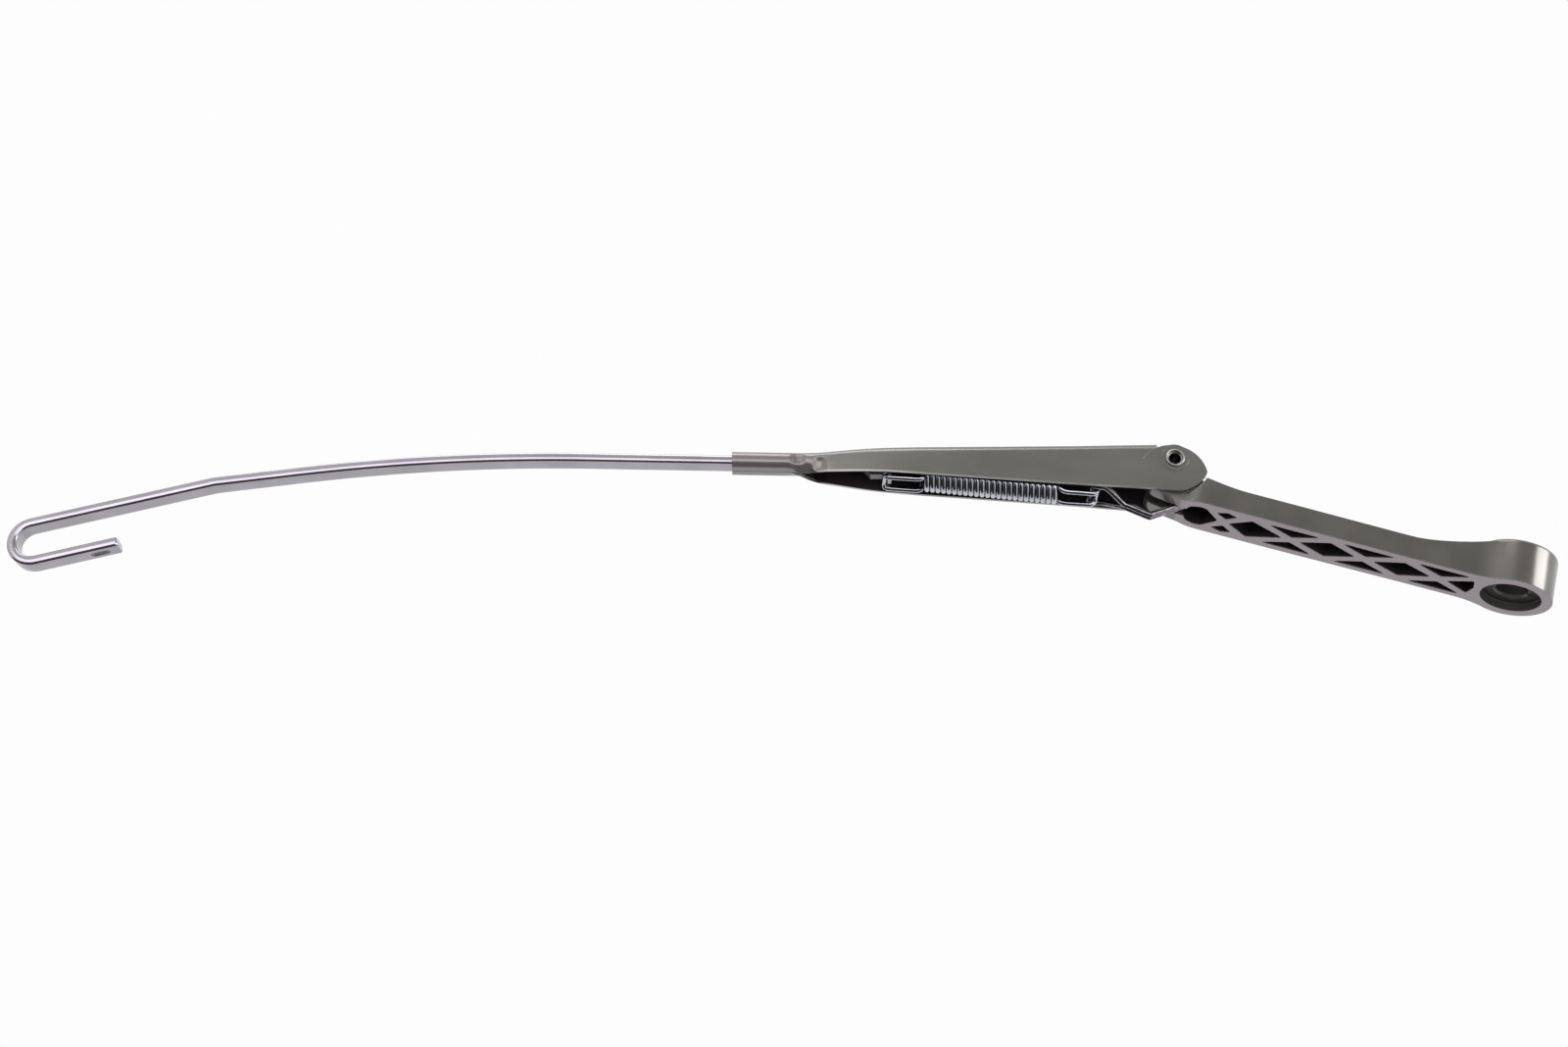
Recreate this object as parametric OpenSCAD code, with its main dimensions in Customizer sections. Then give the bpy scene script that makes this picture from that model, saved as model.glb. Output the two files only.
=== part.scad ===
// Wiper arm: die-cast mounting head, sheet-steel retainer, flat rod with a hook,
// tension spring and bent wire link. The frame's origin is the centre of the
// spindle boss at the flat underside of the head; the head lies along X.

/* [Mounting head] */
// Distance from the spindle axis to the hinge axis
hinge_reach = 146.9; // [130:0.1:165]
// Height of the hinge axis above the head's underside
hinge_rise = 17.2; // [16:0.1:19]
// Outer radius of the spindle boss
boss_r = 16.5; // [15:0.1:19]
// Height of the spindle boss
boss_h = 19.3; // [18:0.1:24]
// Rounding of the boss's upper edge
boss_edge_r = 1.6; // [0.8:0.1:2.4]
// Radius of the recess under the boss
recess_r = 12.2; // [10:0.1:13]
// Depth of the recess under the boss
recess_depth = 3.6; // [2.5:0.1:5]
// Radius of the tapered bore at its mouth
taper_r = 6.4; // [6:0.05:7.5]
// Radius of the straight land of the spindle bore
bore_r = 5.2; // [4:0.05:5.8]
// Length of the straight land of the spindle bore
bore_land = 4; // [3:0.1:5]
// Radius of the nut's recess on top of the boss
nut_recess_r = 10.5; // [9:0.1:12]
// Depth of the nut's recess
nut_recess_depth = 4.5; // [3:0.1:6]
// Width of the head beside the hinge
head_w = 25.2; // [24.8:0.1:30]
// Width of the head at its waist
waist_w = 23.8; // [21:0.1:25]
// Height of the head along its middle
head_h = 10; // [9:0.1:11.5]
// Thickness of the head's side walls
head_wall = 3; // [2:0.1:3.6]
// Thickness of the head's upper wall
head_roof = 2; // [1.5:0.1:3]
// Distance from one crossing of the ribs to the next
rib_pitch = 31; // [26:0.5:32]

/* [Knuckle and hinge] */
// Width of the knuckle between the retainer's ears
knuckle_w = 20.4; // [19:0.1:20.6]
// Radius of the knuckle round the hinge axis
knuckle_r = 6.2; // [5.5:0.1:6.4]
// Width of the slot in the knuckle for the spring link
slot_w = 7; // [6:0.1:8.5]
// Radius of the rivet's shank
rivet_r = 3.2; // [2.8:0.05:3.6]
// Radius of the hole through the tubular rivet
rivet_hole_r = 2.3; // [1.6:0.05:2.5]
// Radius of the rivet's rolled rims
rivet_rim_r = 4; // [3.8:0.05:5]
// Height of the rivet's rolled rims
rivet_rim_h = 0.8; // [0.5:0.05:1.2]
// Radial clearance of the rivet in the knuckle
rivet_clear = 0.05; // [0.02:0.01:0.08]

/* [Retainer] */
// Slope of the retainer against the head
arm_slope = 16.9; // [12:0.1:20]
// Thickness of the retainer's sheet
sheet_t = 1.6; // [1.4:0.05:1.8]
// Width of the retainer over its ears
ear_w = 24.4; // [24.2:0.1:25]
// Width of the channel along its middle
channel_w = 22.8; // [22.6:0.1:24]
// Height of the retainer's upper face over the hinge axis
web_z = 7.5; // [7.2:0.1:8.2]
// Gap between the hinge axis and the end of the upper web
web_gap = 7; // [6.8:0.1:9]
// Depth of the side walls below the hinge axis at the ears
ear_drop = 14.8; // [14:0.1:15]
// Depth of the side walls below the hinge axis at the crimp
crimp_drop = 1.8; // [1:0.1:3]
// Distance from the hinge axis to the crimp
crimp_reach = 149; // [145:0.5:155]
// Distance from the hinge axis to the outer end of the sleeve
sleeve_reach = 186; // [180:0.5:195]

/* [Rod] */
// Width of the flat rod
rod_w = 9; // [8:0.1:9]
// Thickness of the flat rod
rod_t = 4; // [3.5:0.1:4]
// Rounding of the rod's long edges
rod_edge_r = 1; // [0.6:0.05:1.4]
// Length of rod held inside the sleeve
rod_grip = 24; // [15:0.5:30]
// Straight length of rod outside the sleeve
rod_first = 61; // [40:1:80]
// Radius of the rod's long bow
bow_r = 815; // [600:5:1200]
// Angle that the long bow turns through
bow_angle = 8.6; // [5:0.1:10]
// Straight length between the long bow and the kink
rod_second = 35; // [15:0.5:60]
// Angle of the kink before the hook
kink_angle = 6.8; // [4:0.1:12]
// Straight length between the kink and the hook
rod_third = 76; // [50:0.5:100]
// Clear gap between the two legs of the hook
hook_gap = 13.5; // [11:0.1:15]
// Straight length of the hook's lower leg
hook_leg = 34; // [25:0.1:40]
// Length of the slot in the hook's lower leg
hook_slot_l = 8; // [6:0.1:10]
// Width of the slot in the hook's lower leg
hook_slot_w = 3.4; // [3:0.1:4]

/* [Spring and link] */
// Diameter of the spring's wire
spring_wire = 2.3; // [2:0.05:2.4]
// Mean radius of the spring's coils
coil_r = 5.6; // [5.2:0.05:5.7]
// Number of turns of the spring
coil_turns = 24; // [18:1:26]
// Gap between neighbouring turns
coil_gap = 0.04; // [0.03:0.01:0.1]
// Diameter of the link's wire
link_wire = 2.5; // [2.2:0.05:2.6]
// Width of the link's cross bar between wire centres
link_bar_w = 16; // [15:0.1:16.4]
// Radius of the link's pin
link_pin_r = 1.6; // [1.4:0.05:1.8]

/* [Hidden] */

overrun = 1;
fine = 96;
cad_gap = 0.3;

function half(w) = w / 2;
function unit(v) = v / norm(v);
function mix(a, b, s) = a + (b - a) * s;
function ease(s) = s <= 0 ? 0 : s >= 1 ? 1 : s * s * (3 - 2 * s);
function arc_points(c, r, a0, a1, n) =
    [for (i = [0:n]) let (a = mix(a0, a1, i / n)) c + r * [cos(a), sin(a)]];
function reversed(l) = [for (i = [len(l) - 1:-1:0]) l[i]];

// Everything that swings with the retainer is drawn along its own X from the hinge
module at_hinge() {
    translate([-hinge_reach, 0, hinge_rise]) children();
}
module arm_frame() {
    at_hinge() rotate([0, -arm_slope, 0]) children();
}
module across(w) {
    rotate([90, 0, 0]) linear_extrude(w, center = true) children();
}
module cross_bore(r, w) {
    rotate([90, 0, 0]) cylinder(r = r, h = w, center = true, $fn = fine);
}

// Head: its sides taper in behind the knuckle, narrow a little to the waist and
// sweep out into the boss
ear_relief = 0.8;
head_gap = 8;
end_taper = 9;
end_shares = [0, 0.2, 0.4, 0.65, 1];
wide_share = 0.78;
waist_share = 0.2;
fillet_share = 1.8;
fillet_short = 9;
plan_steps = 10;
head_end_x = -(hinge_reach - head_gap);
head_wide_x = -wide_share * hinge_reach;
head_waist_x = -waist_share * hinge_reach;
fillet_r = fillet_share * boss_r;
fillet_y = half(waist_w) + fillet_r;
fillet_x = -sqrt(pow(boss_r + fillet_r, 2) - fillet_y * fillet_y);
fillet_stop = -atan2(fillet_y, -fillet_x) - fillet_short;
function head_half(x) =
    half(mix(head_w, waist_w, ease((x - head_wide_x) / (head_waist_x - head_wide_x))));
function plan_side() = concat(
    [for (t = end_shares) [head_end_x + t * end_taper, mix(half(head_w), half(knuckle_w), pow(1 - t, 2))]],
    [for (i = [0:plan_steps]) let (x = mix(head_wide_x, head_waist_x, i / plan_steps)) [x, head_half(x)]],
    arc_points([fillet_x, fillet_y], fillet_r, -90, fillet_stop, 8),
    [[fillet_x, fillet_y] + fillet_r * [cos(fillet_stop), sin(fillet_stop)]
        + half(knuckle_r) * [-sin(fillet_stop), cos(fillet_stop)]]
);
module head_plan() {
    polygon(concat(plan_side(), [[0, 0]], [for (p = reversed(plan_side())) [p[0], -p[1]]]));
}

// Upper outline of the head: dips behind the hinge and rises to the boss
shoulder_rise = 3.4;
shoulder_power = 1.6;
rise_share = 2.7;
meet_share = 0.8;
meet_drop_share = 1.3;
rise_power = 1.5;
rise_start = -rise_share * boss_r;
rise_end = -meet_share * boss_r;
boss_meet_z = boss_h - meet_drop_share * boss_edge_r;
profile_steps = 30;
function head_top(x) =
    x < head_wide_x ? head_h + shoulder_rise * pow((head_wide_x - x) / (head_wide_x - head_end_x), shoulder_power)
    : x < rise_start ? head_h
    : mix(head_h, boss_meet_z, pow(min(1, (x - rise_start) / (rise_end - rise_start)), rise_power));
module head_profile() {
    polygon(concat(
        [for (i = [0:profile_steps]) let (x = mix(head_end_x, -half(boss_r), i / profile_steps)) [x, head_top(x)]],
        [[0, boss_meet_z], [0, 0], [head_end_x, 0]]
    ));
}
module head_body() {
    difference() {
        intersection() {
            linear_extrude(boss_h) head_plan();
            across(2 * head_w) head_profile();
        }
        at_hinge() cross_bore(ear_drop + ear_relief, 2 * head_w);
    }
}

// Spindle boss with the recess below, the tapered bore and the nut's recess above
bore_chamfer = 0.6;
taper_top = boss_h - nut_recess_depth - bore_land;
module boss() {
    rotate_extrude($fn = fine) polygon(concat(
        [[0, 0], [boss_r, 0]],
        arc_points([boss_r - boss_edge_r, boss_h - boss_edge_r], boss_edge_r, 0, 90, 4),
        [[0, boss_h]]
    ));
}
module boss_bores() {
    rotate_extrude($fn = fine) polygon([
        [0, -overrun], [recess_r, -overrun], [recess_r, recess_depth],
        [taper_r + bore_chamfer, recess_depth], [taper_r, recess_depth + bore_chamfer],
        [bore_r, taper_top], [bore_r, taper_top + bore_land],
        [nut_recess_r, taper_top + bore_land], [nut_recess_r, boss_h + overrun], [0, boss_h + overrun]
    ]);
}

// Pockets between the crossed ribs, open below; corner points are shares of the
// rib pitch along X and of the clear half width across
first_crossing = -(hinge_reach - 24);
crossings = 4;
diamond_shares = [[-0.35, -0.07, 0.39, 0.80], [-0.385, 0, 0.385, 0.72], [-0.385, 0, 0.40, 0.71]];
end_pocket_shares = [[-0.445, 0.50], [-0.40, 0.72], [-0.29, 0.88], [-0.20, 0.83], [-0.015, 0.08]];
side_pocket_shares = [
    [[-0.06, 0.72], [0.09, 0.96], [0.23, 0.76], [0.09, 0.32]],
    [[-0.37, 0.92], [0.36, 0.94], [0.00, 0.24]],
    [[-0.38, 0.97], [0.37, 0.97], [0.00, 0.26]],
    [[-0.37, 1.00], [0.38, 1.00], [0.01, 0.29]]
];
boss_tip_share = 0.11;
boss_pocket_share = 0.5;
corner_round = 0.8;
function crossing(i) = first_crossing + i * rib_pitch;
function pocket_point(x, v, s) =
    let (px = x + v[0] * rib_pitch) [px, s * v[1] * (head_half(px) - head_wall)];
function corner_arc(p, q, s, r) =
    let (a = unit(p - q), b = unit(s - q), l = r / tan(half(acos(a * b))))
    [for (t = [0:0.25:1]) pow(1 - t, 2) * (q + l * a) + 2 * t * (1 - t) * q + t * t * (q + l * b)];
module rounded_polygon(p) {
    n = len(p);
    polygon([for (i = [0:n - 1]) for (v = corner_arc(p[(i + n - 1) % n], p[i], p[(i + 1) % n], corner_round)) v]);
}
module diamond_pocket(x, v) {
    rounded_polygon([
        pocket_point(x, [v[0], 0], 1), pocket_point(x, [v[1], v[3]], -1),
        pocket_point(x, [v[2], 0], 1), pocket_point(x, [v[1], v[3]], 1)
    ]);
}
module end_pocket() {
    rounded_polygon(concat(
        [for (v = end_pocket_shares) pocket_point(crossing(0), v, -1)],
        [for (v = reversed(end_pocket_shares)) pocket_point(crossing(0), v, 1)]
    ));
}
boss_pocket_x = -(recess_r + head_wall);
boss_pocket_y = boss_pocket_share * recess_r;
module boss_pocket() {
    rounded_polygon([
        pocket_point(crossing(crossings - 1), [boss_tip_share, 0], 1),
        [boss_pocket_x - half(head_wall), -boss_pocket_y], [boss_pocket_x, 0],
        [boss_pocket_x - half(head_wall), boss_pocket_y]
    ]);
}
module pockets() {
    for (i = [0:crossings - 2]) diamond_pocket(crossing(i) + half(rib_pitch), diamond_shares[i]);
    for (i = [0:crossings - 1], s = [-1, 1])
        rounded_polygon([for (v = side_pocket_shares[i]) pocket_point(crossing(i), v, s)]);
    end_pocket();
    boss_pocket();
}

// Knuckle: two lugs between the ears with a slot for the link, and a nose below
nose_x = -3.4;
nose_z = -11.2;
nose_r = 4.4;
knuckle_root = 6;
pin_x = 7.4;
pin_z = -11.4;
pin_seat = 3.2;
slot_front = 5.4;
slot_back = 13.4;
slot_roof = -6.8;
module knuckle() {
    across(knuckle_w) hull() {
        translate([-hinge_reach, hinge_rise]) circle(knuckle_r, $fn = fine);
        translate([nose_x - hinge_reach, nose_z + hinge_rise]) circle(nose_r, $fn = half(fine));
        polygon([[head_end_x, 0], [head_end_x + knuckle_root, 0],
            [head_end_x + knuckle_root, 0.9 * head_top(head_end_x + knuckle_root)]]);
    }
}
module link_slot() {
    at_hinge() across(slot_w) polygon([
        [-2 * ear_drop, 2 * hinge_rise], [slot_front, 2 * hinge_rise], [slot_front, slot_roof],
        [slot_back, slot_roof], [slot_back, -2 * hinge_rise], [-2 * ear_drop, -2 * hinge_rise]
    ]);
}
module head_casting() {
    color([0.40, 0.40, 0.37]) difference() {
        union() {
            head_body();
            boss();
            knuckle();
        }
        boss_bores();
        translate([0, 0, -overrun]) linear_extrude(head_h - head_roof + overrun) pockets();
        link_slot();
        at_hinge() cross_bore(rivet_r + rivet_clear, 2 * head_w);
        at_hinge() translate([pin_x, 0, pin_z]) cross_bore(link_pin_r, slot_w + 2 * pin_seat);
    }
}

// Tubular rivet with both ends rolled over the ears
dimple_r = 5.8;
dimple_h = 0.35;
module hinge_rivet() {
    rim_y = half(ear_w) + dimple_h;
    color([0.72, 0.72, 0.72]) at_hinge() difference() {
        union() {
            cross_bore(rivet_r, 2 * rim_y);
            for (s = [-1, 1]) translate([0, s * (rim_y + half(rivet_rim_h)), 0]) cross_bore(rivet_rim_r, rivet_rim_h);
        }
        cross_bore(rivet_hole_r, 2 * ear_w);
    }
}

// Retainer: a channel whose section changes from station to station. Each row holds
// reach, width, ear width, turn of the folded flange and width of that flange
bend_r = 2.2;
curl_r = 2.1;
sleeve_w = rod_w + 2 * sheet_t;
sleeve_h = rod_t + 2 * sheet_t;
sleeve_tilt = 1.5;
station_shares = [
    [1.000, 0.00, 0.0, 1.00], [0.880, 0.00, 0.0, 1.00], [0.862, 0.00, 0.0, 0.92], [0.845, 0.00, 0.0, 0.70],
    [0.825, 0.05, 0.0, 0.42], [0.805, 0.10, 0.0, 0.18], [0.785, 0.22, 0.0, 0.05], [0.760, 0.38, 0.0, 0.02],
    [0.730, 0.58, 0.0, 0.02], [0.690, 0.80, 0.0, 0.02], [0.640, 0.94, 0.0, 0.02], [0.580, 1.00, 0.0, 0.02],
    [0.400, 1.00, 0.0, 0.02], [0.220, 1.00, 0.15, 0.02], [0.120, 1.00, 0.7, 0.02], [0, 1.00, 1.0, 0.02]
];
bend_steps = 5;
curl_l = curl_r * PI / 2;
flange_l = half(sleeve_w) - half(sheet_t) - curl_r - half(cad_gap);
wall_slope = (ear_drop - crimp_drop) / crimp_reach;
function station_x(s) = min(-web_gap, -s[0] * sleeve_reach);
function wall_bottom(x) = -crimp_drop - wall_slope * (x + crimp_reach);
function bend_point(w, top, a, d) =
    [w - half(sheet_t) - bend_r, top - half(sheet_t) - bend_r] + (bend_r + d) * [cos(a), sin(a)];
function curl_point(w, low, turn, s, d) =
    let (a = turn * s, r = curl_l / (turn * PI / 180))
    [w - half(sheet_t) - r, low] + (r + d) * [cos(a), -sin(a)];
function side_line(w, top, low, turn, d) = concat(
    [for (i = [0:bend_steps]) bend_point(w, top, 90 - 90 * i / bend_steps, d)],
    [for (i = [0:bend_steps]) curl_point(w, low, turn, i / bend_steps, d)],
    [curl_point(w, low, turn, 1, d) + flange_l * [-sin(turn), -cos(turn)]]
);
function mirrored(l) = [for (p = reversed(l)) [-p[0], p[1]]];
function station_section(s) =
    let (x = station_x(s),
         w = mix(half(sleeve_w), half(channel_w), s[1]) + s[2] * half(ear_w - channel_w),
         top = web_z + max(0, -x - crimp_reach) * tan(sleeve_tilt),
         closed = top - sleeve_h + half(sheet_t) + curl_r,
         open = wall_bottom(x) + curl_l + flange_l,
         low = mix(open, closed, s[3]),
         outer = side_line(w, top, low, 90 * s[3], half(sheet_t)),
         inner = side_line(w, top, low, 90 * s[3], -half(sheet_t)))
    concat(mirrored(outer), outer, reversed(inner), reversed(mirrored(inner)));
module retainer_shell() {
    rings = [for (s = station_shares) station_section(s)];
    n = len(rings);
    m = len(rings[0]);
    points = [for (i = [0:n - 1]) for (p = rings[i]) [station_x(station_shares[i]), p[0], p[1]]];
    walls = [for (i = [0:n - 2], k = [0:m - 1]) let (a = i * m + k, b = i * m + (k + 1) % m)
        for (f = [[a, b, a + m], [b, b + m, a + m]]) f];
    cap = [for (k = [0:m / 2 - 2]) [m - 1 - k, m - 2 - k, k + 1, k]];
    far_cap = [for (f = cap) [for (i = reversed(f)) (n - 1) * m + i]];
    polyhedron(points, concat(walls, cap, far_cap), convexity = 8);
}

// Ears: flat plates beyond the web's end, rounded about the hinge
ear_top_r = 6.44;
ear_back_r = 14.7;
ear_back = [-1.5, -8.5];
ear_start = -103;
ear_steps = 48;
function ear_reach(a) =
    let (d = ear_back * [cos(a), sin(a)], back = d + sqrt(d * d - ear_back * ear_back + ear_back_r * ear_back_r))
    max(ear_top_r, min(ear_drop, back));
module ear_outline() {
    polygon(concat(
        [for (i = [0:ear_steps]) let (a = mix(ear_start, 180, i / ear_steps)) ear_reach(a) * [cos(a), sin(a)]],
        [[-web_gap, 0], [-web_gap, wall_bottom(-web_gap)]]
    ));
}

// Tongue lanced out of the web: it slopes down, runs over the spring's loop and ends
// in a short flange that the loop bears on
touch_share = 0.02;
tongue_w = 4.6;
tongue_face = -120.1;
strip_l = 7.2;
lance_l = 13.6;
flange_drop = 1.1;
loop_z = -3.1;
loop_gap = half(spring_wire) + touch_share * spring_wire;
strip_low = loop_z + loop_gap;
web_low = web_z - sheet_t;
ramp_run = lance_l - strip_l;
ramp_w = sheet_t * norm([ramp_run, web_low - strip_low]) / (web_low - strip_low);
root_x = tongue_face - lance_l;
module anchor_tongue() {
    across(tongue_w) polygon([
        [root_x, web_low + half(sheet_t)], [root_x, web_low],
        [tongue_face - strip_l, strip_low], [tongue_face, strip_low],
        [tongue_face, loop_z - flange_drop], [tongue_face + sheet_t, loop_z - flange_drop],
        [tongue_face + sheet_t, strip_low + sheet_t],
        [tongue_face - strip_l + half(ramp_w), strip_low + sheet_t],
        [root_x + ramp_w, web_low], [root_x + half(ramp_w), web_low + half(sheet_t)]
    ]);
}
module retainer() {
    color([0.42, 0.42, 0.39]) arm_frame() {
        difference() {
            union() {
                retainer_shell();
                for (s = [-1, 1]) {
                    translate([0, s * half(ear_w - sheet_t), 0]) across(sheet_t) ear_outline();
                    translate([0, s * half(ear_w + dimple_h - half(sheet_t)), 0])
                        cross_bore(dimple_r, dimple_h + half(sheet_t));
                }
            }
            cross_bore(rivet_r, 2 * ear_w);
            translate([root_x + ramp_w, -half(tongue_w), web_low - sheet_t])
                cube([lance_l, tongue_w, 3 * sheet_t]);
        }
        anchor_tongue();
    }
}

// Rod: a rounded flat bar swept along its line. A stop holds X, Z and the heading,
// which is 0 towards the tip and grows as the line bends down
hook_r = half(hook_gap + rod_t);
kink_r = 4 * rod_t;
function ahead(f, l) = [f[0] - l * cos(f[2]), f[1] - l * sin(f[2]), f[2]];
function turned(f, r, a) =
    [f[0] - r * (sin(f[2] + a) - sin(f[2])), f[1] + r * (cos(f[2] + a) - cos(f[2])), f[2] + a];
function bend_stops(f, r, angle, n) = [for (i = [1:n]) turned(f, r, angle * i / n)];
sleeve_start_z = web_z - half(sleeve_h) + (sleeve_reach - rod_grip - crimp_reach) * tan(sleeve_tilt);
stop_grip = [-(sleeve_reach - rod_grip), sleeve_start_z, -sleeve_tilt];
stop_bow = ahead(stop_grip, rod_grip + rod_first);
stop_kink = ahead(turned(stop_bow, bow_r, bow_angle), rod_second);
stop_hook = ahead(turned(stop_kink, kink_r, kink_angle), rod_third);
stop_leg = turned(stop_hook, hook_r, 180);
stop_end = ahead(stop_leg, hook_leg);
rod_stops = concat(
    [stop_grip, stop_bow], bend_stops(stop_bow, bow_r, bow_angle, 12),
    [stop_kink], bend_stops(stop_kink, kink_r, kink_angle, 3),
    [stop_hook], bend_stops(stop_hook, hook_r, 180, 15), [stop_end]
);
function bar_corner(a, b) =
    arc_points([a * (half(rod_w) - rod_edge_r), b * (half(rod_t) - rod_edge_r)], rod_edge_r,
        45 * (2 - a) * b - 45, 45 * (2 - a) * b + 45, 4);
bar_section = concat(bar_corner(1, 1), bar_corner(-1, 1), bar_corner(-1, -1), bar_corner(1, -1));
function swept_faces(n, m) = concat(
    [for (i = [0:n - 2], k = [0:m - 1]) let (a = i * m + k, b = i * m + (k + 1) % m)
        for (f = [[a, a + m, b], [b, a + m, b + m]]) f],
    [[for (k = [0:m - 1]) k], [for (k = [m - 1:-1:0]) (n - 1) * m + k]]
);
module rod_bar() {
    points = [for (f = rod_stops) for (p = bar_section) [f[0] - p[1] * sin(f[2]), p[0], f[1] + p[1] * cos(f[2])]];
    polyhedron(points, swept_faces(len(rod_stops), len(bar_section)), convexity = 6);
}
module hook_slot() {
    run = half(hook_slot_l - hook_slot_w);
    linear_extrude(2 * rod_t, center = true) polygon(concat(
        arc_points([run, 0], half(hook_slot_w), -90, 90, 12),
        arc_points([-run, 0], half(hook_slot_w), 90, 270, 12)
    ));
}
module rod() {
    slot_stop = ahead(stop_leg, hook_leg - hook_slot_l);
    color([0.62, 0.61, 0.64]) arm_frame() difference() {
        rod_bar();
        translate([slot_stop[0], 0, slot_stop[1]]) rotate([0, -slot_stop[2], 0]) hook_slot();
    }
}

// A wire swept along a line of points without twist
function tangent(p, i) = unit(p[min(i + 1, len(p) - 1)] - p[max(i - 1, 0)]);
function square_to(n, t) = unit(n - (n * t) * t);
function normals(p, n0) =
    [for (i = 0, n = square_to(n0, tangent(p, 0)); i < len(p);
          n = square_to(n, tangent(p, min(i + 1, len(p) - 1))), i = i + 1) n];
module wire(path, d, sides, n0) {
    n = normals(path, n0);
    points = [for (i = [0:len(path) - 1]) let (t = tangent(path, i), b = cross(t, n[i]))
        for (k = [0:sides - 1]) let (a = 360 * k / sides)
            path[i] + half(d) * (cos(a) * n[i] + sin(a) * b)];
    polyhedron(points, swept_faces(len(path), sides), convexity = 8);
}

// Spring: its line runs from the tongue to the link's cross bar; the coil lies above
// that line. Each end loop is a flat U whose closed end is folded up through a quarter
// circle. A fold row holds the angle and the share of the coil radius across; a strand
// row holds the share of the coil radius back and the share of the fold regained
bar_x = -34.4;
bar_z = -10.4;
tongue_fold = 1.45;
bar_fold = half(spring_wire + link_wire) + 2 * touch_share * spring_wire;
line_start = [tongue_face - loop_gap, loop_z];
bar_at = [bar_x, bar_z];
line_end = bar_at + bar_fold * unit(bar_at - line_start);
line_l = norm(line_end - line_start);
line_tilt = atan2(line_start[1] - line_end[1], line_end[0] - line_start[0]);
coil_lift = [2.9, 2];
coil_share = 0.485;
coil_l = coil_turns * (spring_wire + coil_gap);
coil_start = coil_share * (line_l - coil_l);
coil_sides = 14;
wire_sides = 6;
fold_shares = [[0, 0.56], [12, 0.78], [31, 0.90], [50, 0.94], [70, 0.96], [90, 0.97]];
strand_shares = [[1.4, 0], [2.2, 0], [2.55, 0.10], [2.75, 0.36], [2.84, 0.75]];
function coil_point(a) = let (s = a / (360 * coil_turns))
    [coil_start + coil_l * s, coil_r * cos(a), mix(coil_lift[0], coil_lift[1], s) + coil_r * sin(a)];
function loop_side(x, way, side, fold) = concat(
    [for (v = fold_shares) [x + way * fold * (1 - cos(v[0])), side * v[1] * coil_r, -fold * sin(v[0])]],
    [for (v = strand_shares) [x + way * v[0] * coil_r, side * coil_r, -fold * (1 - v[1])]]
);
module tension_spring() {
    path = concat(
        reversed(loop_side(0, 1, -1, tongue_fold)), loop_side(0, 1, 1, tongue_fold),
        [for (i = [0:(coil_turns + 0.5) * coil_sides]) coil_point(360 * i / coil_sides)],
        reversed(loop_side(line_l, -1, -1, bar_fold)), loop_side(line_l, -1, 1, bar_fold)
    );
    color([0.70, 0.71, 0.75]) arm_frame() translate([line_start[0], 0, line_start[1]])
        rotate([0, line_tilt, 0]) wire(path, spring_wire, wire_sides, [1, 0, 0]);
}

// Link: one wire, its closed end a wide cross bar, its two ends curled round the pin.
// Its corner and neck are held in the head's X and Z from the hinge axis
link_sides = 10;
link_clear = 0.08;
limb_slope = 35.4;
curl_wrap = 200;
corner_x = -3.7;
corner_z = -22.9;
neck_x = -16.1;
neck_z = -21.4;
pin_wire_r = link_pin_r + half(link_wire) + link_clear;
bar_turned = [bar_x * cos(arm_slope) - bar_z * sin(arm_slope), bar_x * sin(arm_slope) + bar_z * cos(arm_slope)];
limb_offset = half(link_wire) + half(link_clear);
corner_shares = [[0.62, 0.36], [0.14, 0.05], [-0.38, -0.02]];
neck_shares = [[0.9, 0, -0.06], [0.2, 0.02, 0.02]];
spread_shares = [[2.5, 0.86, 0.28], [1.2, 0.98, 0.14], [0.45, 0.97, 0.05], [0.1, 0.90, 0], [0, 0.78, 0]];
function link_side(s) = concat(
    [for (i = [8:-1:0]) let (a = limb_slope - 90 + curl_wrap * i / 8)
        [pin_x + pin_wire_r * cos(a), s * limb_offset, pin_z + pin_wire_r * sin(a)]],
    [for (v = corner_shares) [corner_x + v[0] * link_wire, s * limb_offset, corner_z + v[1] * link_wire]],
    [for (v = neck_shares) [neck_x + v[0] * link_wire, s * (limb_offset + v[1] * link_wire), neck_z + v[2] * link_wire]],
    [for (v = spread_shares)
        [bar_turned[0] + v[0] * link_wire, s * v[1] * half(link_bar_w), bar_turned[1] + v[2] * link_wire]]
);
module spring_link() {
    color([0.55, 0.56, 0.60]) at_hinge()
        wire(concat(link_side(-1), reversed(link_side(1))), link_wire, link_sides, [0, 1, 0]);
}
module link_pin() {
    color([0.66, 0.66, 0.68]) at_hinge() translate([pin_x, 0, pin_z]) cross_bore(link_pin_r, slot_w + 2 * pin_seat);
}

head_casting();
hinge_rivet();
retainer();
rod();
tension_spring();
spring_link();
link_pin();
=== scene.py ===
import bmesh
import bpy
import numpy as np
from mathutils import Matrix, Vector


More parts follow.
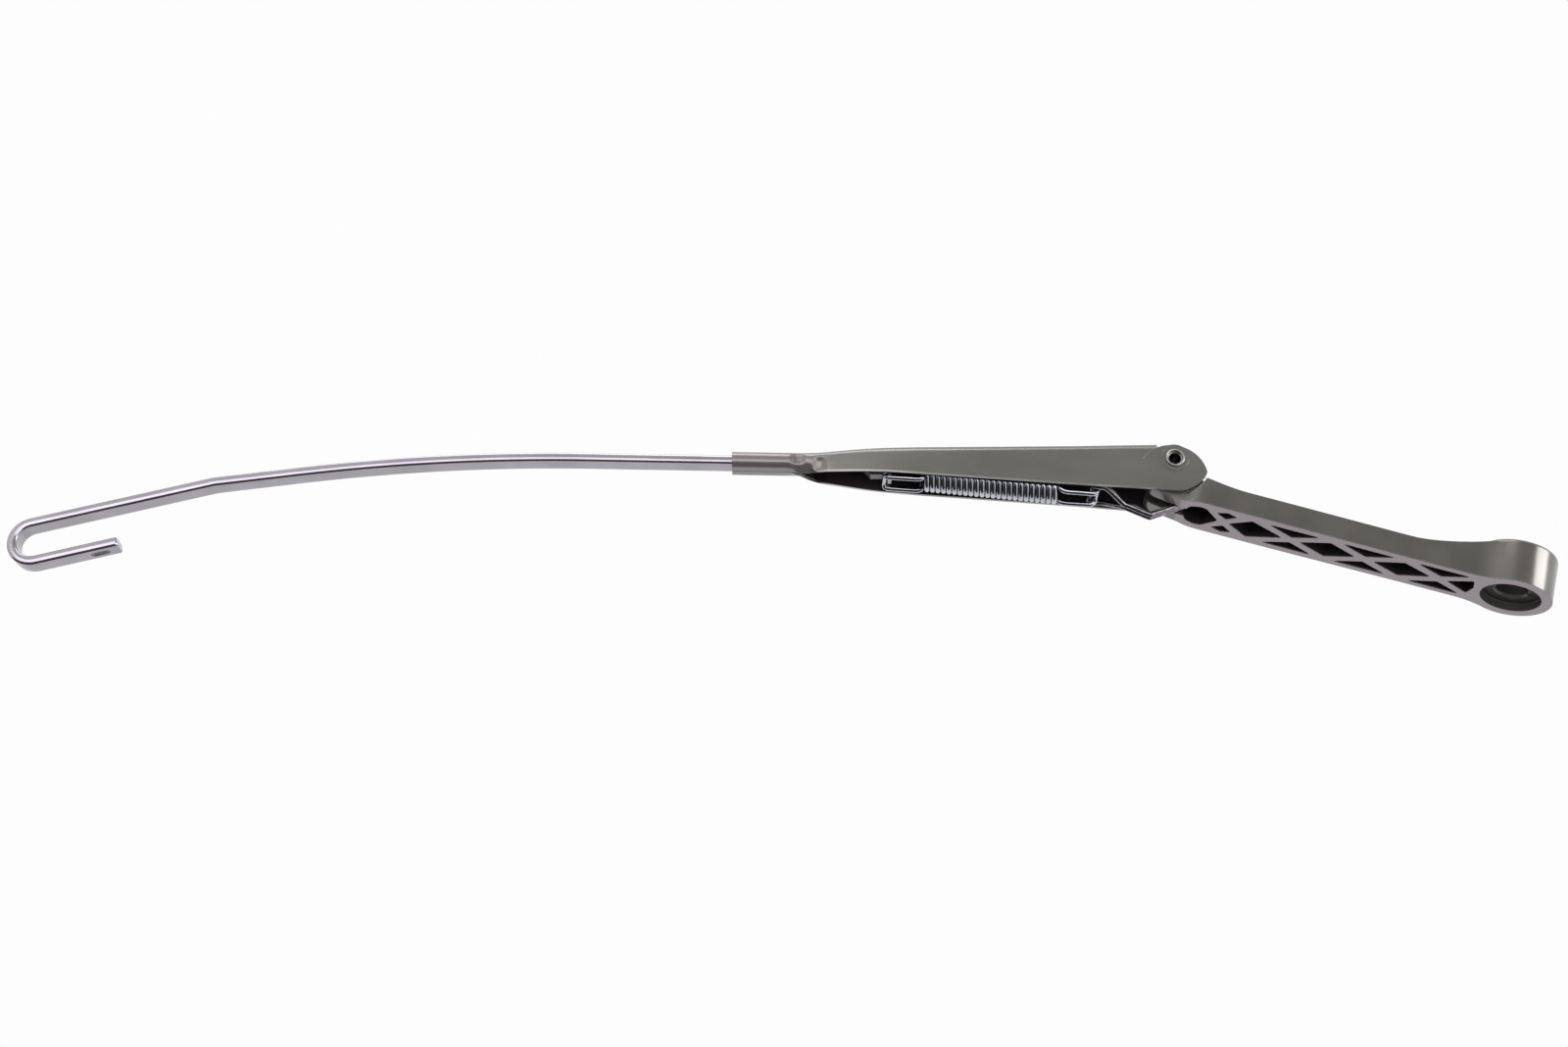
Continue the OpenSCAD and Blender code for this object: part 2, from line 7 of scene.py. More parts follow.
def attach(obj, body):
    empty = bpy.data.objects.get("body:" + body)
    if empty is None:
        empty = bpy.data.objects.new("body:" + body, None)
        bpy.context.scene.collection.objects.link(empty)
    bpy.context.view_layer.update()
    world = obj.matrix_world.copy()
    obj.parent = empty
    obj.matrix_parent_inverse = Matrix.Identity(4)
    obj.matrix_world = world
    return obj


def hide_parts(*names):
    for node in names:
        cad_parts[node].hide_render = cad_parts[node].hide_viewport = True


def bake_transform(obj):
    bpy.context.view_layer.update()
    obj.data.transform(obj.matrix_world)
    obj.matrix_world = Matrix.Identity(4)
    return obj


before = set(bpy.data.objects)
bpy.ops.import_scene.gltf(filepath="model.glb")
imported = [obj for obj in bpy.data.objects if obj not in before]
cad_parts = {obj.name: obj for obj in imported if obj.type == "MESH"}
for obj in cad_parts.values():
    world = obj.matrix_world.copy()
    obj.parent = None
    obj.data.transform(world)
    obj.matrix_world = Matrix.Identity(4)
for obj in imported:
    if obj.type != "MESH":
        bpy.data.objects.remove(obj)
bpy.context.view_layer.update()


# Mounting head. One light-alloy die casting in satin dark grey lacquer, flat below with
# crossed ribs over deep pockets, and a round boss for the spindle. The pockets and the
# spindle recess are painted near-black as shade, the flat underside lighter as a painted
# reflection.
class Field:
    """A number that changes over a surface: arithmetic on it adds Math nodes."""

    def __init__(self, finish, socket):
        self.finish, self.socket = finish, socket

    def _math(self, operation, a, b=0.0):
        return self.finish.node("ShaderNodeMath", {"operation": operation}, {0: a, 1: b})

    def __add__(self, other):
        return self._math("ADD", self, other)

    def __sub__(self, other):
        return self._math("SUBTRACT", self, other)

    def __rsub__(self, other):
        return self._math("SUBTRACT", other, self)

    def __mul__(self, other):
        return self._math("MULTIPLY", self, other)

    __radd__ = __add__
    __rmul__ = __mul__

    def size(self):
        return self._math("ABSOLUTE", self)

    def root(self):
        return self._math("SQRT", self)

    def larger(self, other):
        return self._math("MAXIMUM", self, other)

    def between(self, low, high):
        """0 below low, 1 above high, smooth in between; low may lie above high."""
        return self.finish.node(
            "ShaderNodeMapRange",
            {"interpolation_type": "SMOOTHSTEP"},
            {"Value": self, "From Min": low, "From Max": high},
        )


class Finish:
    """A material with one Principled shader; node() adds any other node before it."""

    def __init__(self, name, metallic=0.0, roughness=0.4, **sockets):
        self.material = bpy.data.materials.new(name)
        self.material.use_nodes = True
        self.tree = self.material.node_tree
        self.tree.nodes.clear()
        self.shader = self.tree.nodes.new("ShaderNodeBsdfPrincipled")
        output = self.tree.nodes.new("ShaderNodeOutputMaterial")
        self.tree.links.new(self.shader.outputs[0], output.inputs[0])
        self.shader.inputs["Metallic"].default_value = metallic
        self.shader.inputs["Roughness"].default_value = roughness
        for socket, value in sockets.items():
            self.shader.inputs[socket.replace("_", " ")].default_value = value

    def put(self, socket, value):
        if isinstance(value, Field):
            self.tree.links.new(value.socket, socket)
        elif value is not None:
            socket.default_value = value

    def node(self, kind, settings=None, values=None, output=0):
        node = self.tree.nodes.new(kind)
        for key, value in (settings or {}).items():
            setattr(node, key, value)
        for key, value in (values or {}).items():
            self.put(node.inputs[key], value)
        return Field(self, node.outputs[output])

    def place(self, pitch=0.0, origin=(0, 0, 0)):
        """The piece's own metres from origin, turned by pitch degrees about Y."""
        own = self.node("ShaderNodeTexCoord", output="Object")
        moved = self.node(
            "ShaderNodeVectorMath", {"operation": "SUBTRACT"}, {0: own, 1: origin}
        )
        return self.node(
            "ShaderNodeMapping", None, {"Vector": moved, "Rotation": (0, np.radians(pitch), 0)}
        )

    def parts(self, vector):
        split = self.tree.nodes.new("ShaderNodeSeparateXYZ")
        self.tree.links.new(vector.socket, split.inputs[0])
        return [Field(self, s) for s in split.outputs]

    def grain(self, vector, scale, detail=3.0, stretch=(1, 1, 1)):
        drawn = self.node("ShaderNodeMapping", None, {"Vector": vector, "Scale": stretch})
        return self.node(
            "ShaderNodeTexNoise", None, {"Vector": drawn, "Scale": scale, "Detail": detail}
        )

    def blend(self, factor, first, second):
        mix = self.tree.nodes.new("ShaderNodeMix")
        mix.data_type = "RGBA"
        self.put(mix.inputs[0], factor)
        self.put(mix.inputs[6], (*first, 1) if isinstance(first, tuple) else first)
        self.put(mix.inputs[7], (*second, 1) if isinstance(second, tuple) else second)
        return Field(self, mix.outputs[2])

    def surface(
        self, colour=None, roughness=None, height=None, depth=0.0001, edge=0.0, metallic=None
    ):
        """Joins colour, roughness, metal share, a bump of the given depth and softened edges."""
        shader = self.shader.inputs
        self.put(shader["Base Color"], colour)
        self.put(shader["Roughness"], roughness)
        self.put(shader["Metallic"], metallic)
        normal = None
        if edge:
            normal = self.node("ShaderNodeBevel", {"samples": 6}, {"Radius": edge})
        if height is not None:
            values = {"Strength": 1.0, "Distance": depth, "Height": height, "Normal": normal}
            normal = self.node("ShaderNodeBump", None, values)
        self.put(shader["Normal"], normal)
        return self.material


def dressed_copy(node, name, sharp=32):
    """A node's mesh with its doubles merged, smooth except at edges above sharp degrees."""
    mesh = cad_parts[node].data.copy()
    mesh.materials.clear()
    if "custom_normal" in mesh.attributes:
        mesh.attributes.remove(mesh.attributes["custom_normal"])
    shell = bmesh.new()
    shell.from_mesh(mesh)
    bmesh.ops.remove_doubles(shell, verts=shell.verts, dist=2e-6)
    shell.to_mesh(mesh)
    shell.free()
    piece = bpy.data.objects.new(name, mesh)
    bpy.context.collection.objects.link(piece)
    mesh.shade_smooth()
    mesh.set_sharp_from_angle(angle=np.radians(sharp))
    return piece


casting = dressed_copy("head_casting", "casting")
lacquer = Finish("cast_lacquer", Coat_Roughness=0.2)
own = lacquer.place()
x, y, z = lacquer.parts(own)
cast_grain = lacquer.grain(own, 1400, 4)
cloud = lacquer.grain(own, 60, 3)
half_width = 0.0126 - x.between(-0.1296, -0.1389) * 0.0024 - x.between(-0.1146, -0.0294) * 0.0007
below_roof = z.between(0.0098, 0.0088)
# Painted shade: the pockets between the ribs are darkened to near-black in the colour.
painted_pocket_shade = (half_width - y.size()).between(0.0010, 0.0020) * z.between(0.00015, 0.0004) * below_roof
painted_pocket_shade = painted_pocket_shade * x.between(-0.0130, -0.0145) * x.between(-0.1385, -0.1375)
radius = (x * x + y * y).root()
# Painted shade in the spindle recess: its wall is darkened, its seat and the bore's lip less so,
# and a patch at the notch more.
painted_well_shade = radius.between(0.01218, 0.0120) * z.between(0.0003, 0.0008) * z.between(0.016, 0.014)
seat = radius.between(0.0118, 0.0110) * z.between(0.0033, 0.0035)
lip = radius.between(0.0062, 0.0064) * radius.between(0.0073, 0.0070) * z.between(0.0033, 0.0035)
notch = y.size().between(0.0012, 0.0008) * x.between(0.0050, 0.0056) * x.between(0.0092, 0.0086)
shade = painted_pocket_shade.larger(painted_well_shade * (1 - seat * 0.12 - lip * 0.55 + notch * 0.6))
plain = lacquer.blend(cloud.between(0.3, 0.7), (0.122, 0.115, 0.105), (0.146, 0.138, 0.127))
# Painted reflection: the flat underside is painted a lighter lilac grey.
painted_sheen_below = z.between(0.00025, 0.00005)
plain = lacquer.blend(painted_sheen_below, plain, (0.25, 0.213, 0.235))
colour = lacquer.blend(shade, plain, (0.010, 0.004, 0.006))
coarse = (x + 0.1375).size().between(0.006, 0.002) * z.between(0.011, 0.005)
coarse = coarse * y.size().between(0.009, 0.0105)
lacquer.put(lacquer.shader.inputs["Coat Weight"], 0.3 - shade * 0.3)
casting.data.materials.append(
    lacquer.surface(
        colour,
        0.20 + cloud * 0.07 + shade * 0.4,
        cast_grain * (0.25 + coarse * 5.0),
        0.00004,
        0.0005,
        metallic=0.65 - shade * 0.6,
    )
)
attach(casting, "head")
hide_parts("head_casting")


# Retainer. A channel folded from 1.6 mm sheet in the same lacquer, its far end closed
# into a sleeve round the rod; the inside of the channel is painted near-black as shade.
retainer = dressed_copy("retainer", "retainer_shell", 30)
sheet = Finish("sheet_lacquer", Coat_Roughness=0.16)
slope, hinge = 16.9, (-0.1469, 0, 0.0172)
along = sheet.place(slope, hinge)
x, y, z = sheet.parts(along)
cloud = sheet.grain(along, 45, 3, (0.4, 1, 1))
fine = sheet.grain(along, 2600, 2)
half_inner = 0.0101 - x.between(-0.118, -0.158) * 0.0053 + x.between(-0.045, -0.010) * 0.0008
# Painted shade: the inside of the channel is darkened to near-black, the tongue less so.
tongue = y.size().between(0.0026, 0.0024) * z.between(0.0052, 0.0046)
tongue = tongue * x.between(-0.138, -0.136) * x.between(-0.117, -0.118)
painted_inside_shade = (half_inner - y.size()).between(0.0, 0.0002) * z.between(0.0067, 0.0061)
painted_inside_shade = painted_inside_shade * x.between(-0.158, -0.150)
painted_inside_shade = painted_inside_shade * (1 - tongue * 0.75)
plain = sheet.blend(cloud.between(0.3, 0.7), (0.145, 0.143, 0.129), (0.170, 0.168, 0.152))
# Painted highlight: a bright line along the near wall's lower edge.
rim = (z + 0.0018 + (x + 0.149) * 0.08725).between(0.00040, 0.00015) * x.between(-0.006, -0.012)
plain = sheet.blend(rim * (0.3 + x.between(-0.104, -0.118) * 0.6), plain, (0.62, 0.58, 0.60))
# Painted reflection: the sleeve end is painted a lighter lilac grey.
plain = sheet.blend(x.between(-0.138, -0.160), plain, (0.215, 0.185, 0.190))
colour = sheet.blend(painted_inside_shade, plain, (0.014, 0.007, 0.009))
dimple = (x + 0.1580).size().between(0.0040, 0.0005) * (z - 0.0040).size().between(0.0035, 0.0005)
dimple2 = (x + 0.1490).size().between(0.0035, 0.0005) * (z - 0.0010).size().between(0.0045, 0.0008)
sheet.put(sheet.shader.inputs["Coat Weight"], 0.35 - painted_inside_shade * 0.35)
retainer.data.materials.append(
    sheet.surface(
        colour,
        0.24 + cloud * 0.08 + painted_inside_shade * 0.3,
        fine * 0.06 - (dimple + dimple2) * 18.0,
        0.00006,
        0.0003,
        metallic=0.65 - painted_inside_shade * 0.55,
    )
)
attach(retainer, "arm")
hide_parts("retainer")


# Rod. A drawn 9 x 4 mm steel bar with rounded edges, bowed towards the glass, kinked,
# and bent cold into the J-hook; a short slot near its end locks the blade.
def at_hinge(x, y, z, slope=16.9):
    """Arm coordinates in mm, along the retainer from the hinge axis, as metres in the frame."""
    c, s = np.cos(np.radians(slope)), np.sin(np.radians(slope))
    return np.stack([x * c - z * s - 146.9, y + 0 * x, x * s + z * c + 17.2], -1) / 1000


def bar_line(stops, steps):
    """Runs of (length, radius, turn): straight for turn 0, else an arc that bends down.
    Gives X, Z and heading of points along the whole line."""
    x, z, h = stops[0]
    rows = [np.array([[x, z, h]])]
    for length, radius, turn in stops[1]:
        t = np.linspace(0, 1, 2 if turn == 0 else steps)[1:]
        a = h + turn * t
        if turn == 0:
            px, pz = x - length * t * np.cos(h), z - length * t * np.sin(h)
        else:
            px, pz = x - radius * (np.sin(a) - np.sin(h)), z + radius * (np.cos(a) - np.cos(h))
        rows.append(np.stack([px, pz, a], -1))
        x, z, h = rows[-1][-1]
    return np.concatenate(rows)


def ring_faces(rings, sides):
    """Quads between neighbouring rings, and a cap at each end."""
    i, k = np.meshgrid(np.arange(rings - 1), np.arange(sides), indexing="ij")
    n = (k + 1) % sides
    here, there = i * sides, (i + 1) * sides
    quads = np.stack([here + k, here + n, there + n, there + k], -1)
    last = (rings - 1) * sides
    caps = [list(range(sides))[::-1], list(range(last, last + sides))]
    return quads.reshape(-1, 4).tolist() + caps


def solid(name, points, faces, sharp=50):
    """A closed mesh object from points in metres, with its normals made to face outwards."""
    mesh = bpy.data.meshes.new(name)
    mesh.from_pydata(points.reshape(-1, 3).tolist(), [], faces)
    shell = bmesh.new()
    shell.from_mesh(mesh)
    bmesh.ops.recalc_face_normals(shell, faces=shell.faces)
    shell.to_mesh(mesh)
    shell.free()
    piece = bpy.data.objects.new(name, mesh)
    bpy.context.collection.objects.link(piece)
    mesh.shade_smooth()
    mesh.set_sharp_from_angle(angle=np.radians(sharp))
    return piece


rad = np.radians
grip_x, sleeve_tilt = -162.0, rad(1.5)
grip_z = 7.5 - 3.6 + 13.0 * np.tan(sleeve_tilt)
from_sleeve, before_kink, to_hook, lower_leg = 84.9, 34.9, 75.9, 33.4
runs = [
    (from_sleeve, 0, 0),
    (0, 815, rad(8.6)),
    (before_kink, 0, 0),
    (0, 16, rad(6.8)),
    (to_hook, 0, 0),
    (0, 8.75, rad(180)),
    (lower_leg, 0, 0),
]
line = bar_line(((grip_x, grip_z, -sleeve_tilt), runs), 40)
chamfer, end_heading = 0.6, line[-1, 2]
tip = line[-1] + np.array([-chamfer * np.cos(end_heading), -chamfer * np.sin(end_heading), 0])
line = np.concatenate([line, tip[None]])
half_w, half_t, crown, edge, turn_over = 4.5, 2.0, 4.2, 1.0, rad(15)
lean = rad(np.concatenate([np.linspace(0, 15, 6), np.linspace(24, 90, 8)]))
on_crown = lean <= turn_over
over_edge = edge * (np.sin(lean) - np.sin(turn_over))
rise = np.where(on_crown, crown * np.sin(lean), crown * np.sin(turn_over) + over_edge)
over_edge = edge * (np.cos(lean) - np.cos(turn_over))
reach = np.where(on_crown, crown * np.cos(lean), crown * np.cos(turn_over) + over_edge)
across, up = reach - crown + half_w, rise * half_t / rise[-1]
across = np.concatenate([across, -across[::-1], -across[1:], across[:0:-1]])
up = np.concatenate([up, up[::-1], -up[1:], -up[:0:-1]])
sides = len(across)
shrink = np.ones(len(line))
shrink[-1] = 0.88
sx, sz = across[None] * shrink[:, None], up[None] * shrink[:, None]
heading = line[:, None, 2]
bar = at_hinge(
    line[:, None, 0] - sz * np.sin(heading), sx, line[:, None, 1] + sz * np.cos(heading)
)
rod = solid("hook_rod", bar, ring_faces(len(line), sides), 40)
slot_at = line[-2] + 7.4 * np.array([np.cos(line[-2, 2]), np.sin(line[-2, 2]), 0])
slot_r, slot_straight, half_turn = 1.7, 2.3, rad(np.linspace(-90, 90, 13))
round_end = np.stack([slot_straight + slot_r * np.cos(half_turn), slot_r * np.sin(half_turn)], -1)
obround = np.concatenate([round_end, -round_end])
depth = np.array([-4.0, 4.0])[:, None]
c, s = np.cos(slot_at[2]), np.sin(slot_at[2])
cut_x = slot_at[0] + obround[None, :, 0] * c - depth * s
cut_z = slot_at[1] + obround[None, :, 0] * s + depth * c
cutter = solid(
    "slot_cutter",
    at_hinge(cut_x, obround[None, :, 1] + 0 * cut_x, cut_z),
    ring_faces(2, len(obround)),
)
cut = rod.modifiers.new("slot", "BOOLEAN")
cut.object, cut.operation, cut.solver = cutter, "DIFFERENCE", "EXACT"
bpy.context.view_layer.objects.active = rod
bpy.ops.object.modifier_apply(modifier="slot")
bpy.data.objects.remove(cutter)
rod.data.set_sharp_from_angle(angle=rad(40))
steel = Finish("rod_lacquer", metallic=0.95, Coat_Weight=0.3, Coat_Roughness=0.08)
own = steel.place(20)
streak = steel.grain(own, 900, 3, (0.02, 1, 1))
cloud = steel.grain(own, 50, 3)
colour = steel.blend(cloud.between(0.3, 0.7), (0.345, 0.322, 0.362), (0.405, 0.378, 0.425))
rod.data.materials.append(
    steel.surface(colour, 0.11 + streak * 0.05 + cloud * 0.03, streak * 0.2, 0.00001)
)
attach(rod, "arm")
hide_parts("rod")


# Tension spring. Close-wound 2.3 mm wire, zinc plated; at each end the wire runs out
# into a long open loop, one round the retainer's tongue, one round the link's bar.
def smooth_line(points, steps):
    """Catmull-Rom curve through the points, with the given number of steps for each gap."""
    p = np.concatenate([2 * points[:1] - points[1:2], points, 2 * points[-1:] - points[-2:-1]])
    a, b, c, d = p[:-3, None], p[1:-2, None], p[2:-1, None], p[3:, None]
    t = (np.arange(steps) / steps)[None, :, None]
    square, cube = 2 * a - 5 * b + 4 * c - d, 3 * b - a - 3 * c + d
    curve = 0.5 * (2 * b + (c - a) * t + square * t**2 + cube * t**3)
    return np.concatenate([curve.reshape(-1, 3), points[-1:]])


def wire_rings(line, radius, sides):
    """A round section carried along the line without twist, its ends slightly rounded."""
    t = np.gradient(line, axis=0)
    t /= np.linalg.norm(t, axis=1, keepdims=True)
    n = np.empty_like(t)
    n[0] = np.cross(t[0], [0.3, 0.2, 0.9])
    for i in range(1, len(t)):
        n[i] = n[i - 1] - t[i] * (n[i - 1] @ t[i])
        n[i] /= np.linalg.norm(n[i])
    n[0] /= np.linalg.norm(n[0])
    b = np.cross(t, n)
    a = rad(np.arange(sides) * 360 / sides)[None, :, None]
    r = np.full((len(line), 1, 1), radius)
    r[[0, -1]] *= 0.75
    return line[:, None] + r * (np.cos(a) * n[:, None] + np.sin(a) * b[:, None])


def spring_line():
    """Loop, coil and loop in mm, along X from the tongue's loop to the bar's loop. Each loop
    is a flat U; its closed end is folded up through a quarter circle of radius fold. The
    coil's axis leans: it lies lift above the line at its first turn and drop lower at its last."""
    coil_r, wire, turns, lift, drop = 5.6, 2.3, 24, 2.9, 1.6
    start, bar = np.array([-121.296, -3.1]), np.array([-34.4, -10.4])
    bar_fold = 2.4 + 0.04 * wire
    reach = bar - start
    end = bar + bar_fold * reach / np.linalg.norm(reach)
    length = np.linalg.norm(end - start)
    slope = np.arctan2(start[1] - end[1], end[0] - start[0])
    coil_l = turns * (wire + 0.04)
    folds = np.array([[0, 0.56], [12, 0.78], [31, 0.90], [50, 0.94], [70, 0.96], [90, 0.97]])
    strand = np.array([[1.4, 0], [2.2, 0], [2.55, 0.10], [2.75, 0.36], [2.84, 0.75]])

    def loop(at, way, side, fold):
        v = rad(folds[:, 0])
        width = side * folds[:, 1] * coil_r
        bend = np.stack([at + way * fold * (1 - np.cos(v)), width, -fold * np.sin(v)], -1)
        out = at + way * strand[:, 0] * coil_r
        run = np.stack([out, side * coil_r + 0 * out, -fold * (1 - strand[:, 1])], -1)
        return np.concatenate([bend, run])

    a = rad(np.arange(int((turns + 0.5) * 14) + 1) * 360 / 14)
    s = a / rad(360 * turns)
    first = 0.485 * (length - coil_l)
    height = lift - drop * s + coil_r * np.sin(a)
    coil = np.stack([first + coil_l * s, coil_r * np.cos(a), height], -1)
    path = np.concatenate([
        loop(0, 1, -1, 1.45)[::-1], loop(0, 1, 1, 1.45), coil,
        loop(length, -1, -1, bar_fold)[::-1], loop(length, -1, 1, bar_fold),
    ])
    c, s = np.cos(slope), np.sin(slope)
    return path @ np.array([[c, 0, -s], [0, 1, 0], [s, 0, c]]) + [start[0], 0, start[1]]


path = smooth_line(spring_line(), 4)
rings = wire_rings(path, 1.15, 12)
rings = at_hinge(rings[..., 0], rings[..., 1], rings[..., 2])
spring = solid("pull_spring", rings, ring_faces(len(path), 12))
zinc = Finish("zinc_wire", metallic=1.0)
own = zinc.place(23)
scale = zinc.grain(own, 700, 3)
cloud = zinc.grain(own, 90, 2)
colour = zinc.blend(cloud.between(0.3, 0.7), (0.42, 0.43, 0.48), (0.56, 0.57, 0.62))
spring.data.materials.append(zinc.surface(colour, 0.10 + scale * 0.10, scale, 0.00002))
tuple(at_hinge(-50.0, 0.0, -8.0))
tuple(at_hinge(-106.0, 0.0, -2.0))
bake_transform(spring)
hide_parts("tension_spring")


# Spring link. One length of 2.5 mm drawn wire, bent to a bail: the cross bar holds the
# spring, the two sides run together through the corner and curl round the pin.
def link_line():
    """The bail's centre line in mm from the hinge axis, in the head's X and Z."""
    c, s = np.cos(rad(16.9)), np.sin(rad(16.9))
    bar = np.array([-34.4 * c + 10.4 * s, -34.4 * s - 10.4 * c])
    a = rad(35.4 - 90 + 200 * np.arange(8, -1, -1) / 8)
    curl = np.stack([7.4 + 2.93 * np.cos(a), 0 * a + 1.29, -11.4 + 2.93 * np.sin(a)], -1)
    corner = [[-2.15, 1.29, -22.0], [-3.35, 1.29, -22.78], [-4.65, 1.29, -22.95]]
    neck = [[-13.85, 1.29, -21.55], [-15.6, 1.34, -21.35]]
    spread = [
        [2.5, 0.86, 0.28],
        [1.2, 0.98, 0.14],
        [0.45, 0.97, 0.05],
        [0.1, 0.90, 0],
        [0, 0.78, 0],
    ]
    ends = [[bar[0] + v[0] * 2.5, v[1] * 8, bar[1] + v[2] * 2.5] for v in spread]
    side = np.concatenate([curl, corner, neck, ends])
    return np.concatenate([side * [1, -1, 1], side[::-1]])


path = smooth_line(link_line(), 6)
rings = wire_rings(path, 1.25, 16)
link = solid("wire_link", (rings + [-146.9, 0, 17.2]) / 1000, ring_faces(len(path), 16))
drawn = Finish("drawn_wire", metallic=1.0, roughness=0.32)
own = drawn.place()
scale = drawn.grain(own, 600, 3)
colour = drawn.blend(scale.between(0.35, 0.7), (0.20, 0.18, 0.20), (0.34, 0.32, 0.35))
link.data.materials.append(drawn.surface(colour, 0.13 + scale * 0.14, scale, 0.00002))
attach(link, "link")
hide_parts("spring_link")


# Hinge rivet. A tubular steel rivet through ears and knuckle; both ends are rolled
# outwards over the ears into a rounded rim.
def turned(name, profile, centre, sides=64):
    """A closed profile of (radius, along Y) in mm turned about the Y axis through centre."""
    a = rad(np.arange(sides) * 360 / sides)[:, None]
    r, y = profile[None, :, 0], profile[None, :, 1]
    points = np.stack([centre[0] + r * np.cos(a), y + 0 * a, centre[1] + r * np.sin(a)], -1) / 1000
    m = len(profile)
    i, k = np.meshgrid(np.arange(sides), np.arange(m), indexing="ij")
    j, n = (i + 1) % sides, (k + 1) % m
    quads = np.stack([i * m + k, i * m + n, j * m + n, j * m + k], -1).reshape(-1, 4)
    return solid(name, points, quads.tolist(), 45)


a = rad(np.linspace(-90, 190, 18))
rim = np.stack([3.56 + 0.42 * np.cos(a), 12.95 + 0.40 * np.sin(a)], -1)
mouth = [[2.95, 12.55], [2.55, 12.35], [2.34, 11.9], [2.3, 11.4]]
half = np.concatenate([[[3.2, 12.5]], rim, mouth])
rivet = turned("tube_rivet", np.concatenate([half, (half * [1, -1])[::-1]]), (-146.9, 17.2))
plated = Finish("plated_steel", metallic=1.0, roughness=0.3)
own = plated.place(0, hinge)
marks = plated.grain(own, 1500, 3)
x, y, z = plated.parts(own)
radius = (x * x + z * z).root()
# Painted shade: the bore inside the tube is darkened.
painted_bore_shade = radius.between(0.00245, 0.00225) * y.size().between(0.0127, 0.0117)
colour = plated.blend(marks.between(0.35, 0.65), (0.30, 0.28, 0.27), (0.44, 0.42, 0.41))
colour = plated.blend(painted_bore_shade, colour, (0.02, 0.012, 0.014))
rivet.data.materials.append(plated.surface(colour, 0.26 + marks * 0.16, marks, 0.00003))
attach(rivet, "arm")
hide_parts("hinge_rivet")


# Link pin. A short ground steel pin pressed into the casting across the knuckle's slot.
ground = Finish("ground_pin", metallic=1.0, roughness=0.3)
own = ground.place()
marks = ground.grain(own, 1200, 3, (1, 0.1, 1))
colour = ground.blend(marks, (0.30, 0.29, 0.30), (0.42, 0.41, 0.42))
ground.surface(colour, 0.25 + marks * 0.15, marks, 0.00002)
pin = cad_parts["link_pin"]
pin.data.materials.clear()
pin.data.materials.append(ground.material)


# Floor. A plain pale studio floor well below the arm, which is shown hanging level.
half, level = 30, -1.7
plane = bpy.data.meshes.new("floor")
corners = [(-half, -half, level), (half, -half, level), (half, half, level), (-half, half, level)]
plane.from_pydata(corners, [], [(0, 1, 2, 3)])
floor = bpy.data.objects.new("floor", plane)
bpy.context.collection.objects.link(floor)
paper = Finish("paper", roughness=0.9)
own = paper.place()
fibre = paper.grain(own, 30, 3)
colour = paper.blend(fibre, (0.90, 0.90, 0.91), (0.94, 0.94, 0.945))
plane.materials.append(paper.surface(colour))


# Dark card. A matt black sheet under the arm that only mirror-like reflections see: it
# draws the thin dark line along the rounded lower edges.
left, right, near, far, level = -1.9, 0.9, -2.2, 0.62, -0.9
plane = bpy.data.meshes.new("dark_card")
corners = [(left, near, level), (right, near, level), (right, far, level), (left, far, level)]
plane.from_pydata(corners, [], [(0, 1, 2, 3)])
card = bpy.data.objects.new("dark_card", plane)
bpy.context.collection.objects.link(card)
card.visible_camera = card.visible_diffuse = card.visible_shadow = False
black = Finish("black_card", roughness=0.9)
fibre = black.grain(black.place(), 30, 3)
colour = black.blend(fibre, (0.010, 0.009, 0.010), (0.020, 0.018, 0.020))
plane.materials.append(black.surface(colour))


# Light. A pale room, darker high up in front, and three soft boxes; the background is white.
world = bpy.data.worlds.new("room")
bpy.context.scene.world = world
world.use_nodes = True
tree = world.node_tree
tree.nodes.clear()
direction = tree.nodes.new("ShaderNodeTexCoord")
facing = tree.nodes.new("ShaderNodeVectorMath")
facing.operation = "DOT_PRODUCT"
facing.inputs[1].default_value = (0.42, -0.81, 0.41)
tree.links.new(direction.outputs["Generated"], facing.inputs[0])
front = tree.nodes.new("ShaderNodeMapRange")
front.interpolation_type = "SMOOTHSTEP"
front.inputs["From Min"].default_value = 0.66
front.inputs["From Max"].default_value = 0.96
front.inputs["To Min"].default_value = 1.0
front.inputs["To Max"].default_value = 0.36
tree.links.new(facing.outputs["Value"], front.inputs["Value"])
path_kind = tree.nodes.new("ShaderNodeLightPath")
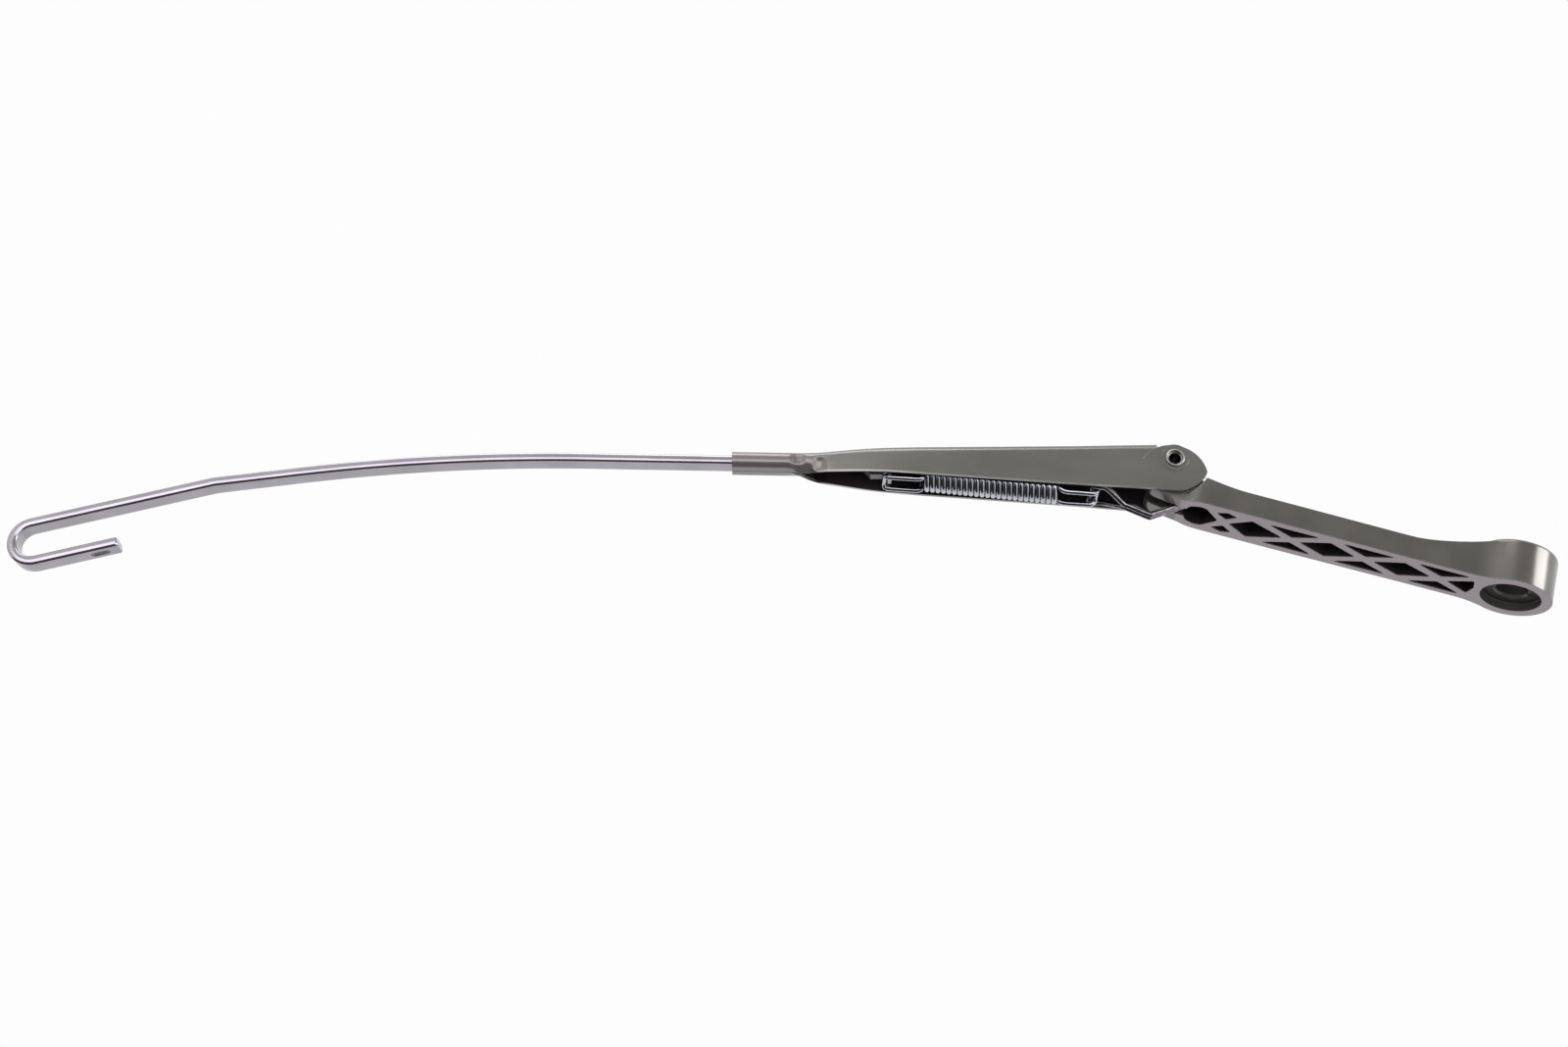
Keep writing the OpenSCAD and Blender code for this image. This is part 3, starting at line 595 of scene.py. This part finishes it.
seen = tree.nodes.new("ShaderNodeMath")
seen.operation = "MAXIMUM"
tree.links.new(path_kind.outputs["Is Camera Ray"], seen.inputs[0])
tree.links.new(path_kind.outputs["Is Transmission Ray"], seen.inputs[1])
level = tree.nodes.new("ShaderNodeMix")
tree.links.new(seen.outputs[0], level.inputs[0])
tree.links.new(front.outputs[0], level.inputs[2])
level.inputs[3].default_value = 1.0
back = tree.nodes.new("ShaderNodeBackground")
back.inputs["Color"].default_value = (0.985, 0.985, 0.985, 1)
tree.links.new(level.outputs[0], back.inputs["Strength"])
out = tree.nodes.new("ShaderNodeOutputWorld")
tree.links.new(back.outputs[0], out.inputs[0])


def soft_box(name, place, aim, width, height, power):
    lamp = bpy.data.lights.new(name, "AREA")
    lamp.shape, lamp.size, lamp.size_y, lamp.energy = "RECTANGLE", width, height, power
    box = bpy.data.objects.new(name, lamp)
    bpy.context.collection.objects.link(box)
    box.location = place
    box.visible_camera = False
    box.rotation_euler = (Vector(aim) - Vector(place)).to_track_quat("-Z", "Y").to_euler()


soft_box("key", (-0.9, -0.6, 1.3), (-0.3, 0, 0), 1.4, 0.5, 8)
soft_box("right_strip", (0.80, -0.42, 0.45), (0, 0, 0), 0.6, 0.6, 8)
soft_box("front_strip", (-0.35, -1.5, -0.10), (-0.35, 0, 0), 2.4, 0.7, 9)

# Camera. Level with the photograph's frame: seen from below the hook's side.
lens = bpy.data.cameras.new("camera")
camera = bpy.data.objects.new("camera", lens)
bpy.context.collection.objects.link(camera)
lens.sensor_width, lens.lens = 36.0, 46.474
lens.clip_start, lens.clip_end = 0.01, 50
right = (0.95882, 0, 0.28402)
rise = (-0.25845, -0.41469, 0.87249)
ahead = (-0.11778, 0.90996, 0.39761)
camera.matrix_world = Matrix((
    (right[0], rise[0], -ahead[0], -0.19707),
    (right[1], rise[1], -ahead[1], -0.77347),
    (right[2], rise[2], -ahead[2], -0.39087),
    (0, 0, 0, 1),
))
bpy.context.scene.camera = camera
bpy.context.scene.view_settings.view_transform = "Standard"
